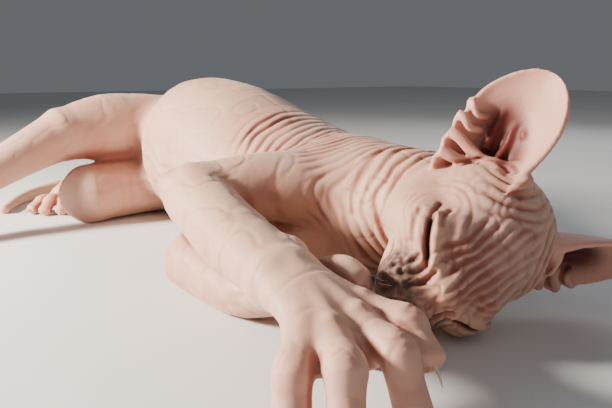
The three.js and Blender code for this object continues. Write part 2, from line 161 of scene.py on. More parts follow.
# Volumes of the head: centre and radii, True for one on each side
HEAD_VOLUMES = [
    ((-8, 0, 8), (37, 34.5, 34), False),
    ((18, 0, -3), (28, 27, 24), False),
    ((38, 0, -12), (15, 15, 12.5), False),
    ((41, 8, -13), (11.5, 9.5, 9.5), True),
    ((37, 0, -22), (9, 8.5, 5.5), False),
    ((16, 0, -22), (26, 17, 11), False),
    ((3, 24, -12), (19, 14, 17), True),
    ((20, 25, -4), (13, 9, 9), True),
    ((30, 0, 6), (18, 8, 8), False),
    ((50, 0, -6), (4.5, 6.2, 4.5), False),
    ((22, 15, 15), (10, 8.5, 5), True),
    ((25, 19, 3), (11.5, 11, 10), True),
    ((-28, 0, -6), (20, 24, 22), False),
]
HEAD_BLEND = 7.0

# Ears: root, way up and way across of each, in the head's own drawing
EAR_RIGHT = {
    "side": -1,
    "root": (-9, -27, 5),
    "up": (-0.5, -0.5, 0.8),
    "inward": (0.384, 0.603, 0.698),
}
EAR_LEFT = {
    "side": 1,
    "root": (-12, 24, 11),
    "up": (-0.4, 0.4, 0.8),
    "inward": (0.384, -0.603, 0.598),
}
EAR_HEIGHT = 68.0
EAR_HALF_WIDTH = 34.0
EAR_TAPER = 2.2
EAR_TIP_SHARE = 0.03
EAR_FOOT_NARROWING = 0.12
EAR_ROLL_ROOT = 1.75
EAR_ROLL_TIP = 0.75
EAR_ROLL_RISE = 1.4
EAR_LEAN = 6.0
EAR_BELOW = 0.16
EAR_THICK = 2.5
EAR_THINNING = 0.08
EAR_ROWS = 60
EAR_COLUMNS = 60
ROWS_TO_TIP = 1.5
EAR_MARGIN = 10.0

# Rim of the ear: how much thicker it is and how near the edge, then the waves beside the pocket
RIM_SWELL = 0.3
RIM_NEARNESS = 12
RIM_WAVE = 0.05
RIM_WAVE_TURNS = 38.0
RIM_WAVE_TOP = 0.6

# Hollow of the ear canal at the bottom of each cup
CANAL_HEIGHT = 0.10
CANAL_AHEAD = 9.0
CANAL_RADIUS = 8.5
CANAL_BLEND = 4.0

# Blends between forms
LEG_BLEND = 15.0
HEAD_NECK_BLEND = 9.0
JOINT_BLEND = 6.0
BONE_BLEND = 5.0
TOE_BLEND = 3.0
BETWEEN_TOES_BLEND = 0.8
TAIL_BLEND = 6.0
HIND_SKIN_BLEND = 14.0
END_BULGE = 0.7

# Grid of the smooth body, in blocks of steps, and the voxel that fuses body and ears
GRID_STEP = 2.2
GRID_MARGIN = 6.0
BLOCK = 4
NEAR_SHARE = 1.5
CHUNK = 300000
VOXEL = 0.85

# Reach of the blends round a limb and round the head, and a distance past everything
TUBE_MARGIN = 22.0
HEAD_REACH = 75.0
FAR = 1e3


# Curves and distances

def knot_gap(a, b):
    return max(np.linalg.norm(b - a) ** 0.5, 1e-4)


def catmull(points, samples):
    """Centripetal Catmull-Rom through the points, sampled evenly by point number."""
    pts = np.array(points, float)
    count = len(pts)
    out = []
    for t in np.linspace(0, count - 1, samples):
        i = min(int(t), count - 2)
        w = t - i
        p1, p2 = pts[i], pts[i + 1]
        p0 = pts[i - 1] if i > 0 else 2 * p1 - p2
        p3 = pts[i + 2] if i + 2 < count else 2 * p2 - p1
        d0, d1, d2 = knot_gap(p0, p1), knot_gap(p1, p2), knot_gap(p2, p3)
        m1 = ((p1 - p0) / d0 - (p2 - p0) / (d0 + d1) + (p2 - p1) / d1) * d1
        m2 = ((p2 - p1) / d1 - (p3 - p1) / (d1 + d2) + (p3 - p2) / d2) * d1
        square = 3 * (p2 - p1) - 2 * m1 - m2
        cube = 2 * (p1 - p2) + m1 + m2
        out.append(p1 + m1 * w + square * w ** 2 + cube * w ** 3)
    return np.array(out)


def rows_unit(rows):
    return rows / np.maximum(np.linalg.norm(rows, axis=-1, keepdims=True), 1e-9)


class Tube:
    """A limb: a curve of oval sections with rounded ends."""

    def __init__(self, stations, samples):
        rows = np.array(stations, float)
        self.centre = catmull(rows[:, :3], samples)
        self.radii = catmull(rows[:, 3:5], samples)
        self.way = rows_unit(np.gradient(self.centre, axis=0))
        up = np.array([0, 0, 1.0]) - self.way * self.way[:, 2:3]
        self.up = rows_unit(up)
        reach = self.radii.max() + TUBE_MARGIN
        self.low = self.centre.min(axis=0) - reach
        self.high = self.centre.max(axis=0) + reach

    def distance(self, points):
        """Distance to the limb's surface, below 0 inside, and only right close to it."""
        best = np.full(len(points), np.inf)
        seg = np.zeros(len(points), int)
        part = np.zeros(len(points))
        for j in range(len(self.centre) - 1):
            start = self.centre[j]
            step = self.centre[j + 1] - start
            rel = points - start
            s = np.clip(rel @ step / (step @ step), 0, 1)
            gap = ((rel - s[:, None] * step) ** 2).sum(axis=1)
            closer = gap < best
            best[closer] = gap[closer]
            seg[closer] = j
            part[closer] = s[closer]
        part = part[:, None]

        def between(rows):
            return rows[seg] * (1 - part) + rows[seg + 1] * part

        off = points - between(self.centre)
        up = between(self.up)
        way = between(self.way)
        side = np.cross(way, up)
        radii = between(self.radii)
        high, deep = radii[:, 0], radii[:, 1]
        parts = np.stack([(off * up).sum(1), (off * side).sum(1), (off * way).sum(1)], axis=1)
        sizes = np.stack([high, deep, END_BULGE * np.minimum(high, deep)], axis=1)
        return oval_distance(parts, sizes)


def oval_distance(parts, sizes):
    near = np.linalg.norm(parts / sizes, axis=1)
    slope = np.linalg.norm(parts / sizes ** 2, axis=1)
    gap = near * (near - 1) / np.maximum(slope, 1e-6)
    return np.where(slope > 1e-6, gap, -sizes.min(axis=1))


def smooth_min(a, b, blend):
    mix = np.maximum(blend - np.abs(a - b), 0) / blend
    return np.minimum(a, b) - mix * mix * blend / 4


def ball_distance(points, centre, radii):
    sizes = np.broadcast_to(np.array(radii, float), points.shape)
    return oval_distance(points - np.array(centre, float), sizes)


# Forms of the body

def to_head(points):
    return (points - HEAD_AT) @ HEAD_AXES.T / HEAD_SCALE


def from_head(points):
    return HEAD_AT + np.atleast_2d(np.array(points, float)) @ HEAD_AXES * HEAD_SCALE


def head_distance(points):
    local = to_head(points)
    total = np.full(len(points), FAR)
    for centre, radii, both in HEAD_VOLUMES:
        total = smooth_min(total, ball_distance(local, centre, radii), HEAD_BLEND)
        if both:
            other = (centre[0], -centre[1], centre[2])
            total = smooth_min(total, ball_distance(local, other, radii), HEAD_BLEND)
    return total * HEAD_SCALE


def carved_head(points):
    """Head with the ear canals sunk into the bottom of the cups."""
    total = head_distance(points)
    for shape in (EAR_RIGHT, EAR_LEFT):
        middle = from_head(ear_point(shape, 0.0, CANAL_HEIGHT, -CANAL_AHEAD))[0]
        canal = CANAL_RADIUS - np.linalg.norm(points - middle, axis=1)
        total = -smooth_min(-total, -canal, CANAL_BLEND)
    return total


# Toe: height and width at root, middle, knuckle, last joint and tip, as shares of its size
TOE_SHARES = np.array([(0.86, 0.92), (0.84, 0.88), (0.98, 1.02), (0.78, 0.88), (0.80, 0.92)])
LAST_JOINT_AT = 0.45


def toe_tubes(paw):
    tubes = []
    for toe in paw["toes"]:
        root, knuckle, tip = np.array(toe, float)
        middle = 0.5 * (root + knuckle)
        last = (1 - LAST_JOINT_AT) * knuckle + LAST_JOINT_AT * tip
        places = np.stack([root, middle, knuckle, last, tip])
        tubes.append(Tube(np.hstack([places, paw["size"] * TOE_SHARES]), 12))
    return tubes


class Leg:
    """Upper and lower length of a leg with its paw, as one blended form, and any bones that show."""

    def __init__(self, stations, paw, bones=()):
        self.bones = bones
        self.lengths = [Tube(stations[:BEND + 1], 10), Tube(stations[BEND:], 10)]
        self.palm = Tube([stations[-1]] + paw["palm"], 9)
        self.toes = toe_tubes(paw)
        parts = self.lengths + [self.palm] + self.toes
        self.low = np.min([tube.low for tube in parts], axis=0)
        self.high = np.max([tube.high for tube in parts], axis=0)

    def distance(self, points):
        total = self.lengths[0].distance(points)
        total = smooth_min(total, self.lengths[1].distance(points), JOINT_BLEND)
        total = smooth_min(total, self.palm.distance(points), JOINT_BLEND)
        for centre, radii in self.bones:
            total = smooth_min(total, ball_distance(points, centre, radii), BONE_BLEND)
        toes = np.full(len(points), FAR)
        for tube in self.toes:
            toes = smooth_min(toes, tube.distance(points), BETWEEN_TOES_BLEND)
        return smooth_min(total, toes, TOE_BLEND)


class Pair:
    """Two legs with the skin that spans between them."""

    def __init__(self, first, second, blend):
        self.legs = (first, second)
        self.blend = blend
        self.low = np.minimum(first.low, second.low)
        self.high = np.maximum(first.high, second.high)

    def distance(self, points):
        first, second = self.legs
        return smooth_min(first.distance(points), second.distance(points), self.blend)


# Bones that show through the skin of the right foreleg, with radii: side of the wrist, and the elbow
BONES_R = [((103, -105, 48), (9, 7.5, 7.5)), ((-5, -115, 64), (11, 10, 10))]

TRUNK_TUBE = Tube(TRUNK, 32)
LIMBS = [
    (Leg(FORELEG_R, FOREPAW_R, BONES_R), LEG_BLEND),
    (Leg(FORELEG_L, FOREPAW_L), LEG_BLEND),
    (Pair(Leg(HINDLEG_R, HINDPAW_R), Leg(HINDLEG_L, HINDPAW_L), HIND_SKIN_BLEND), LEG_BLEND),
    (Tube(TAIL, 24), TAIL_BLEND),
]


def body_distance(points):
    """Distance of points to the smooth body: trunk and head, then each leg and the tail in turn."""
    points = np.asarray(points, float)
    trunk = TRUNK_TUBE.distance(points)
    total = trunk.copy()
    near = np.linalg.norm(points - HEAD_AT, axis=1) < HEAD_REACH
    total[near] = smooth_min(trunk[near], carved_head(points[near]), HEAD_NECK_BLEND)
    for form, blend in LIMBS:
        inside = np.all((points > form.low) & (points < form.high), axis=1)
        if inside.any():
            joint = smooth_min(trunk[inside], form.distance(points[inside]), blend)
            total[inside] = np.minimum(total[inside], joint)
    return np.maximum(total, -points[:, 2])


# Meshing of the smooth body

def along(axis, part):
    """Index that takes a part of one axis and the whole of the other two."""
    return tuple(part if a == axis else slice(None) for a in range(3))


def crossed_edges(field, inside, axis):
    """For the grid edges along an axis: which cross the surface, and how far along."""
    low, high = along(axis, slice(None, -1)), along(axis, slice(1, None))
    cross = inside[low] != inside[high]
    share = np.where(cross, field[low] / np.where(cross, field[low] - field[high], 1), 0)
    return cross, share


def cell_points(field, edges):
    """Sum and number of the crossings on the edges of each cell, in grid steps."""
    cells = tuple(n - 1 for n in field.shape)
    total = np.zeros(cells + (3,))
    hits = np.zeros(cells)
    grid = np.indices(field.shape)
    for axis, (cross, share) in enumerate(edges):
        first, second = (a for a in range(3) if a != axis)
        low = along(axis, slice(None, -1))
        for da, db in ((0, 0), (0, 1), (1, 0), (1, 1)):
            part = [slice(None)] * 3
            part[first] = slice(da, da + cells[first])
            part[second] = slice(db, db + cells[second])
            part = tuple(part)
            hits += cross[part]
            for a in range(3):
                place = grid[a][low][part] + (share[part] if a == axis else 0)
                total[..., a] += cross[part] * place
    return total, hits


def edge_quads(cross, inside, number, axis):
    """One quad round each crossed edge along an axis, turned outwards."""
    at = list(np.nonzero(cross))
    first, second = (axis + 1) % 3, (axis + 2) % 3
    fine = np.ones(len(at[0]), bool)
    for a in (first, second):
        fine &= (at[a] > 0) & (at[a] < number.shape[a])
    at = [a[fine] for a in at]
    corners = []
    for da, db in ((-1, -1), (0, -1), (0, 0), (-1, 0)):
        where = list(at)
        where[first] = at[first] + da
        where[second] = at[second] + db
        corners.append(number[tuple(where)])
    quads = np.stack(corners, axis=1)
    flip = ~inside[tuple(at)]
    quads[flip] = quads[flip][:, ::-1]
    return quads


def surface_net(field, origin, step):
    """Surface where the field changes sign, with one vertex in each cell that it passes."""
    inside = field < 0
    edges = [crossed_edges(field, inside, axis) for axis in range(3)]
    total, hits = cell_points(field, edges)
    used = hits > 0
    number = np.full(hits.shape, -1)
    number[used] = np.arange(used.sum())
    verts = origin + step * total[used] / hits[used][:, None]
    faces = [edge_quads(cross, inside, number, axis) for axis, (cross, _) in enumerate(edges)]
    return verts, np.concatenate(faces)


def body_net():
    """Surface of the smooth body, worked out point by point in the blocks of the grid near it."""
    low = np.array(CAD_BOX[0]) / MM - GRID_MARGIN
    high = np.array(CAD_BOX[1]) / MM + GRID_MARGIN
    blocks = np.ceil((high - low) / (GRID_STEP * BLOCK)).astype(int) + 1
    places = np.stack(np.meshgrid(*[np.arange(n) for n in blocks], indexing="ij"), axis=-1)
    middles = low + GRID_STEP * (BLOCK * places + (BLOCK - 1) / 2)
    rough = body_distance(middles.reshape(-1, 3)).reshape(tuple(blocks))
    field = rough
    near = np.abs(rough) < GRID_STEP * BLOCK * NEAR_SHARE
    for axis in range(3):
        field = np.repeat(field, BLOCK, axis=axis)
        near = np.repeat(near, BLOCK, axis=axis)
    spots = np.argwhere(near)
    for start in range(0, len(spots), CHUNK):
        part = spots[start:start + CHUNK]
        field[tuple(part.T)] = body_distance(low + GRID_STEP * part)
    return surface_net(field, low, GRID_STEP)


# Ears

def ear_point(shape, across, height, shift):
    """Point of the cup in the head's drawing, across from the outer edge -1 to the inner edge 1."""
    up = np.array(shape["up"], float)
    up /= np.linalg.norm(up)
    inward = np.array(shape["inward"], float)
    inward -= up * (inward @ up)
    inward /= np.linalg.norm(inward)
    behind = -shape["side"] * np.cross(up, inward)
    level = max(height, 0.0)
    narrow = max(math.sqrt(max(1 - level ** EAR_TAPER, 0)), EAR_TIP_SHARE)
    half_width = EAR_HALF_WIDTH * narrow * (1 - EAR_FOOT_NARROWING * (1 - level))
    roll = EAR_ROLL_ROOT + (EAR_ROLL_TIP - EAR_ROLL_ROOT) * min(level * EAR_ROLL_RISE, 1)
    radius = half_width / roll
    angle = across * roll
    lean = EAR_LEAN * level * level
    return (np.array(shape["root"], float) + up * EAR_HEIGHT * height
            + inward * (radius + shift) * math.sin(angle)
            + behind * ((radius + shift) * math.cos(angle) - radius * math.cos(roll) + lean))


def rim_wave(across, height):
    """How far the outer edge waves in and out beside the pocket."""
    wave = math.sin(height * RIM_WAVE_TURNS) * (height < RIM_WAVE_TOP)
    return 1 + RIM_WAVE * wave * max(-across, 0) ** 4


def ear_shell(shape):
    """Closed sheet of the cup, and for each vertex its place across and up, and 1 on the inner side."""
    places = []
    for row in range(EAR_ROWS + 1):
        height = -EAR_BELOW + (1 + EAR_BELOW) * (1 - (1 - row / EAR_ROWS) ** ROWS_TO_TIP)
        places += [(column / EAR_COLUMNS * 2 - 1, height) for column in range(EAR_COLUMNS + 1)]
    inner, outer = [], []
    for across, height in places:
        rim = 1 + RIM_SWELL * abs(across) ** RIM_NEARNESS
        half = EAR_THICK * (0.5 - EAR_THINNING * max(height, 0)) * rim
        waved = across * rim_wave(across, height)
        inner.append(ear_point(shape, waved, height, -half))
        outer.append(ear_point(shape, waved, height, half))
    marks = [(*place, side) for side in (1, 0) for place in places]
    quads = sheet_faces(EAR_ROWS, EAR_COLUMNS)
    if shape["side"] > 0:
        quads = quads[:, ::-1]
    return from_head(inner + outer), quads, marks


def sheet_faces(rows, columns):
    """Faces of a closed sheet: its inner side, its outer side and the four edges."""
    wide = columns + 1
    back = wide * (rows + 1)
    quads = []
    for row in range(rows):
        for column in range(columns):
            a = row * wide + column
            quads.append((a, a + 1, a + wide + 1, a + wide))
            quads.append((back + a, back + a + wide, back + a + wide + 1, back + a + 1))
        first = row * wide
        last = first + columns
        quads.append((first, first + wide, back + first + wide, back + first))
        quads.append((last, back + last, back + last + wide, last + wide))
    top = rows * wide
    for column in range(columns):
        quads.append((column, back + column, back + column + 1, column + 1))
        quads.append((top + column, top + column + 1, back + top + column + 1, back + top + column))
    return np.array(quads)


# Flaps in the cup: places across, up and in front of the sheet, then the radius at each end
EAR_FLAPS = [
    ([(-1.00, 0.55, 0), (-0.95, 0.52, 3), (-0.78, 0.48, 5), (-0.56, 0.52, 3)], 1.9, 1.9),
    ([(-1.04, 0.41, 0), (-0.98, 0.41, 4), (-0.80, 0.38, 6), (-0.50, 0.42, 4)], 2.6, 2.2),
    ([(-1.00, 0.28, 0), (-0.88, 0.28, 5), (-0.55, 0.26, 8), (-0.20, 0.25, 9)], 3.2, 3.2),
    ([(-1.00, 0.13, 0), (-0.86, 0.14, 5), (-0.52, 0.15, 8), (-0.10, 0.16, 9)], 3.6, 3.4),
    ([(-0.20, 0.25, 9), (0.10, 0.28, 8), (0.38, 0.34, 4), (0.54, 0.40, 0)], 3.2, 1.9),
    ([(-0.44, 0.68, -0.5), (-0.38, 0.57, 0.8), (-0.32, 0.46, 1.6), (-0.26, 0.32, 4)], 1.5, 2.6),
    ([(-0.04, 0.66, -0.5), (-0.06, 0.55, 0.8), (0.02, 0.44, 1.4), (0.06, 0.32, 4)], 1.3, 2.4),
    ([(0.14, 0.60, 0), (0.18, 0.56, 2.0), (0.24, 0.54, 1.0)], 1.4, 1.4),
]

# Thick foot of the cup's inner edge: down the edge of the sheet, then on over the brow
INNER_EDGE = [(0.97, 0.42), (1.0, 0.2)]
EAR_FOOT_PATH = [(-12, -19, 36), (-3, -20.5, 34.5), (5, -21.5, 30)]
EAR_FOOT_RADII = [1.8, 3.4, 4.4, 4.2, 2.6]


def ear_flaps(shape):
    shells = []
    for path, first, last in EAR_FLAPS:
        drawn = [ear_point(shape, across, height, -lift) for across, height, lift in path]
        shells.append(tapered(catmull(from_head(drawn), 18), np.linspace(first, last, 18), 10))
    side = -shape["side"]
    foot = [(x, y * side, z) for x, y, z in EAR_FOOT_PATH]
    drawn = [ear_point(shape, across, height, 0) for across, height in INNER_EDGE] + foot
    radii = catmull([(r, 0, 0) for r in EAR_FOOT_RADII], 22)[:, 0]
    shells.append(tapered(catmull(from_head(drawn), 22), radii, 12))
    return shells


# Mesh helpers

def mesh_object(name, verts, faces):
    """Object from vertices in millimetres."""
    mesh = bpy.data.meshes.new(name)
    mesh.from_pydata((np.asarray(verts) * MM).tolist(), [], [tuple(map(int, f)) for f in faces])
    mesh.update()
    piece = bpy.data.objects.new(name, mesh)
    bpy.context.scene.collection.objects.link(piece)
    return piece


def joined(name, shells):
    """One object from closed shells of vertices and faces."""
    verts, faces, start = [], [], 0
    for shell_verts, shell_faces in shells:
        verts.append(shell_verts)
        faces += [tuple(int(i) + start for i in face) for face in shell_faces]
        start += len(shell_verts)
    piece = mesh_object(name, np.concatenate(verts), faces)
    piece.data.shade_smooth()
    return piece


def tapered(path, radii, around=8):
    """Closed thin tube along a path, with pointed ends."""
    path = np.array(path, float)
    way = rows_unit(np.gradient(path, axis=0))
    aside = rows_unit(np.cross(way, np.array([0.31, 0.17, 0.93])))
    other = np.cross(way, aside)
    verts = [path[0]]
    faces = []
    for place, a, b, radius in zip(path, aside, other, radii):
        for k in range(around):
            turn = 2 * math.pi * k / around
            verts.append(place + radius * (a * math.cos(turn) + b * math.sin(turn)))
    verts.append(path[-1])
    last = len(path) - 1
    for k in range(around):
        after = (k + 1) % around
        faces.append((0, 1 + after, 1 + k))
        for ring in range(last):
            base = 1 + ring * around
            faces.append((base + k, base + after, base + around + after, base + around + k))
        faces.append((1 + last * around + k, 1 + last * around + after, len(verts) - 1))
    return np.array(verts), faces


def voxel_joined(piece, size):
    """The piece after one voxel remesh, which fuses the shells in it."""
    modifier = piece.modifiers.new("fuse", "REMESH")
    modifier.mode = "VOXEL"
    modifier.voxel_size = size * MM
    graph = bpy.context.evaluated_depsgraph_get()
    mesh = bpy.data.meshes.new_from_object(piece.evaluated_get(graph))
    old = piece.data
    piece.modifiers.clear()
    piece.data = mesh
    bpy.data.meshes.remove(old)
    return piece


def coordinates(mesh):
    flat = np.empty(len(mesh.vertices) * 3, np.float32)
    mesh.vertices.foreach_get("co", flat)
    return flat.reshape(-1, 3).astype(float) / MM


def set_coordinates(mesh, points):
    mesh.vertices.foreach_set("co", (points * MM).astype(np.float32).ravel())
    mesh.update()


def normals_of(mesh):
    flat = np.empty(len(mesh.vertices) * 3, np.float32)
    mesh.vertices.foreach_get("normal", flat)
    return flat.reshape(-1, 3).astype(float)


def edge_pairs(mesh):
    flat = np.empty(len(mesh.edges) * 2, np.int32)
    mesh.edges.foreach_get("vertices", flat)
    return flat.reshape(-1, 2)


def smoothed(points, edges, share, rounds):
    """Laplacian smoothing, with a share for each point."""
    count = len(points)
    degree = np.bincount(edges.ravel(), minlength=count)[:, None]
    share = np.asarray(share)[:, None]
    for _ in range(rounds):
        total = np.stack([
            np.bincount(edges[:, 0], points[edges[:, 1], a], count)
            + np.bincount(edges[:, 1], points[edges[:, 0], a], count) for a in range(3)], axis=1)
        points = points + share * (total / np.maximum(degree, 1) - points)
    return points


# Skin relief

LATTICE_SIZE = 32
LATTICE = np.random.default_rng(SEED).uniform(-1, 1, (LATTICE_SIZE,) * 3)


def noise(points, scale, shift=0.0):
    """Smooth random field of about one change per scale, from -1 to 1."""
    at = points / scale + shift
    cell = np.floor(at).astype(int)
    part = at - cell
    part = part * part * (3 - 2 * part)
    total = np.zeros(len(points))
    for dx in (0, 1):
        for dy in (0, 1):
            for dz in (0, 1):
                weight = np.ones(len(points))
                for axis, d in enumerate((dx, dy, dz)):
                    weight *= part[:, axis] if d else 1 - part[:, axis]
                i, j, k = ((cell + (dx, dy, dz)) % LATTICE_SIZE).T
                total += weight * LATTICE[i, j, k]
    return total


def ramp(value, low, high):
    """From 0 at low to 1 at high, smoothly."""
    t = np.clip((value - low) / (high - low), 0, 1)
    return t * t * (3 - 2 * t)


def window(value, low, high, soft):
    """1 between low and high, 0 outside, with soft ends."""
    return ramp(value, low - soft, low + soft) * (1 - ramp(value, high - soft, high + soft))


def bell(gap, width):
    return np.exp(-(gap / width) ** 2)


VALLEY_WIDTH = 0.24
CREASE_WIDTH = 0.13
LIP_AWAY = 2.6
LIP_WIDTH = 1.3


def valleys(phase, strength, width=VALLEY_WIDTH):
    """Narrow valleys at whole phases, from 0 on the ridges to strength in the valleys."""
    return strength * bell(phase - np.round(phase), width)


def crumple(points, scale, shift):
    """Thin wandering creases, 1 in a crease."""
    return bell(noise(points, scale, shift), CREASE_WIDTH)


def line_gap(points, path):
    """Distance from each point to a path."""
    path = np.array(path, float)
    best = np.full(len(points), np.inf)
    for start, end in zip(path[:-1], path[1:]):
        step = end - start
        s = np.clip((points - start) @ step / (step @ step), 0, 1)
        best = np.minimum(best, np.linalg.norm(points - start - s[:, None] * step, axis=1))
    return best


class Relief:
    """Height over the smooth skin in millimetres, with the red tint of its creases, darkened as painted
    shade, and the near-black painted shade in its grooves.
    """

    def __init__(self, count):
        self.height = np.zeros(count)
        self.crease = np.zeros(count)
        self.groove_shade = np.zeros(count)

    # A cut also tints the skin red, darkened as painted shade in the crease
    def cut(self, pattern, depth, red_and_shade):
        self.height -= depth * pattern
        self.crease += red_and_shade * pattern

    def swell(self, pattern, height):
        self.height += height * pattern

    # A groove also paints near-black shade into its hollow, by its own share
    def groove(self, gap, depth, width, red_and_shade, painted_shade=0.0, lip=0.0):
        self.cut(bell(gap, width), depth, red_and_shade)
        self.groove_shade += painted_shade * bell(gap, width)
        self.swell(bell(gap - LIP_AWAY * width, LIP_WIDTH * width), lip)


# Lines of the face, in the head's own drawing
EYE_SLIT = [(15, 30, 7), (27, 29.5, 7), (36, 23, 5), (40.5, 15, 3)]
EYE_GAP = [(29, 28.5, 6.5), (36, 23, 5), (40, 16.5, 3.4)]
LID_FOLD = [(19, 28, 13), (26, 27.5, 11), (30, 25, 10.5)]
LOWER_FOLD = [(24, 33, 1), (31, 30, 0), (37, 25, -2)]
CORNER_FOLDS = [
    [(41, 14, 3), (45, 13, -2), (46, 14, -8)],
    [(42, 10, 5), (47, 9, 0), (49, 9.5, -6)],
    [(39, 18, 0), (42, 17, -5), (43, 18, -11)],
]
MOUTH_LINE = [(52, 0, -16), (48, 5, -20), (42, 11, -20), (34, 17, -18), (26, 20, -16)]
PHILTRUM = [(55, 0, -8), (54, 0, -12), (51, 0, -18)]
NOSTRIL = [(56, 3.0, -5.5), (55, 5.2, -7.0)]

# Grooves along those lines, on both sides: path, depth, width, red tint darkened as painted shade,
# near-black painted shade in the groove, and lip
FACE_GROOVES = [
    (EYE_SLIT, 1.5, 1.1, 1.0, 0.35, 0.0),
    (EYE_GAP, 2.4, 1.1, 0.9, 1.3, 0.0),
    (LID_FOLD, 0.9, 0.9, 0.7, 0.0, 0.3),
    (LOWER_FOLD, 0.8, 1.1, 0.6, 0.0, 0.4),
    *[(fold, 1.4, 1.0, 0.7, 0.0, 0.5) for fold in CORNER_FOLDS],
    (MOUTH_LINE, 2.2, 1.0, 0.9, 0.8, 0.6),
    (NOSTRIL, 2.4, 1.1, 0.8, 1.2, 0.3),
]
PHILTRUM_GROOVE = (1.1, 0.8, 0.5, 0.4, 0.0)

# Upper lid over the eye: height, how far it stands from the slit, its width, and its share below
LID_SWELL = 1.6
LID_AWAY = 3.4
LID_WIDTH = 2.4
LID_BELOW = 0.1

# Folds of the brow: pitch, slant, depth, and the rings that replace them round the foot of each ear
BROW_PITCH = 5.2
BROW_SLANT = 0.07
BROW_DEPTH = 1.9
EAR_FOOT = np.array([-13.0, 25.0, 30.0])
EAR_RING_START = 15.0
EAR_RING_PITCH = 6.0
TEMPLE_CALM = 0.85

# Rings round the eye: pitch, depth, and the red tint of their valleys, darkened as painted shade
EYE_RING_PITCH = 4.2
EYE_RING_DEPTH = 0.65
EYE_RING_RED_AND_SHADE = 0.5


def mirrored(path):
    return [(x, -y, z) for x, y, z in path]


SLOPE_STEP = 0.5


def on_skin(path):
    """Path of the head's drawing, moved on to the smooth surface, in the drawing's units."""
    points = catmull(from_head(path), 4 * len(path))
    for _ in range(6):
        here = body_distance(points)
        ahead = [body_distance(points + SLOPE_STEP * axis) for axis in np.eye(3)]
        slope = np.stack([(value - here) / SLOPE_STEP for value in ahead], axis=1)
        points = points - here[:, None] * rows_unit(slope)
    return to_head(points)


def brow_relief(relief, local, warp):
    """Folds that run from the nose over the brow, and bend round the feet of the ears."""
    x, y, z = local.T
    strength = 0.75 + 0.45 * noise(local, 15, 9.1)
    pattern = valleys((y - BROW_SLANT * x + warp) / BROW_PITCH, strength)
    for side in (-1, 1):
        gap = np.linalg.norm(local - EAR_FOOT * (1, side, 1), axis=1)
        rings = valleys((gap + 0.7 * warp - EAR_RING_START) / EAR_RING_PITCH, strength)
        near = (1 - ramp(gap, 26, 34)) * ramp(x, -16, -4)
        pattern = pattern * (1 - near) + near * rings
    temple = window(np.abs(y), 19, 44, 4) * window(z, -10, 25, 5) * ramp(x, -20, 0)
    amount = ramp(z, 6, 14) * ramp(x, -38, -22) * (1 - TEMPLE_CALM * temple)
    relief.cut(amount * pattern, BROW_DEPTH, 1.0)
    relief.cut(amount * crumple(local, 7, 4.4), 0.35, 0.25)


def face_grooves(relief, local):
    for side in (1, -1):
        for path, *shape in FACE_GROOVES:
            turned = path if side > 0 else mirrored(path)
            relief.groove(line_gap(local, on_skin(turned)), *shape)
    relief.groove(line_gap(local, on_skin(PHILTRUM)), *PHILTRUM_GROOVE)


def eye_relief(relief, local, warp, side):
    """Swollen upper lid of one eye, and rings round the eye."""
    slit_path = on_skin(EYE_SLIT if side > 0 else mirrored(EYE_SLIT))
    gap_path = on_skin(EYE_GAP if side > 0 else mirrored(EYE_GAP))
    order = np.argsort(slit_path[:, 0])
    above = local[:, 2] > np.interp(local[:, 0], slit_path[order, 0], slit_path[order, 2])
    lid = bell(line_gap(local, gap_path) - LID_AWAY, LID_WIDTH)
    relief.swell(lid * np.where(above, 1.0, LID_BELOW), LID_SWELL)
    slit = line_gap(local, slit_path)
    strength = 0.6 + 0.5 * noise(local, 9, 6.2)
    rings = valleys((slit + 2.2 * warp) / EYE_RING_PITCH, strength)
    relief.cut(window(slit, 7, 17, 2.5) * rings, EYE_RING_DEPTH, EYE_RING_RED_AND_SHADE)


def head_relief(local):
    relief = Relief(len(local))
    warp = 3.0 * noise(local, 19) + 1.0 * noise(local, 8, 3.3)
    brow_relief(relief, local, warp)
    face_grooves(relief, local)
    for side in (1, -1):
        eye_relief(relief, local, 0.5 * warp, side)
    muzzle = ramp(local[:, 0], 30, 40)
    relief.cut(muzzle * crumple(local, 5, 2.9), 0.7, 0.5)
    relief.cut(crumple(local, 9, 7.3), 0.25, 0.2)
    return relief


# Folds of the body: way across them, share of the warp, pitch, width of a valley, depth, red tint of
# the valley darkened as painted shade
BODY_FOLDS = {
    "neck": ((1, 0, 0.22), 1.5, 8.6, 0.20, 2.3, 1.0),
    "chest": ((1, -0.2, 0), 1.2, 6.4, 0.22, 1.1, 0.7),
    "flank": ((1, 0.2, 0), 0.8, 8.0, 0.20, 1.7, 0.9),
    "belly": ((0.1, 0, 1), 2.2, 13.0, 0.20, 0.8, 0.4),
}

# Fine creases: size of the pattern, its shift, depth, and red tint darkened as painted shade
NECK_CRUMPLE = (9, 1.2, 0.4, 0.3)
ARM_CRUMPLE = (13, 8.8, 0.35, 0.25)
BODY_CRUMPLE = (16, 6.1, 0.25, 0.15)
KNUCKLE_CRUMPLE = (5, 1.5, 0.25, 0.4)

# Tendons on the back of the right forepaw: from the wrist to the root of each toe
WRIST_TOP_R = (122, -117, 48)
TENDON_LIFT = 5.0
TENDON_WIDTH = 3.6
TENDON_HEIGHT = 2.2
KNUCKLE_TOP = 7.0


def fold_zones(points):
    """Share of each kind of fold at each point, from places on the body in millimetres."""
    x, y, z = points.T
    low = ramp(z, 10, 26) * (1 - ramp(z, 66, 86))
    return {
        "neck": window(x, 64, 112, 8) * ramp(y, -62, -48),
        "chest": window(x, 2, 70, 9) * ramp(z, 34, 50) * (1 - ramp(y, 8, 28)) * ramp(y, -62, -46),
        "flank": window(x, -46, 4, 9) * ramp(z, 58, 76) * window(y, -58, 14, 12),
        "belly": window(x, -190, -60, 25) * (1 - ramp(y, -64, -50)) * low,
        "arm": ramp(x, -30, -10) * (1 - ramp(x, 100, 120)) * (1 - ramp(y, -66, -50)),
    }


def cut_creases(relief, points, share, crumpling):
    size, shift, depth, red_and_shade = crumpling
    relief.cut(share * crumple(points, size, shift), depth, red_and_shade)


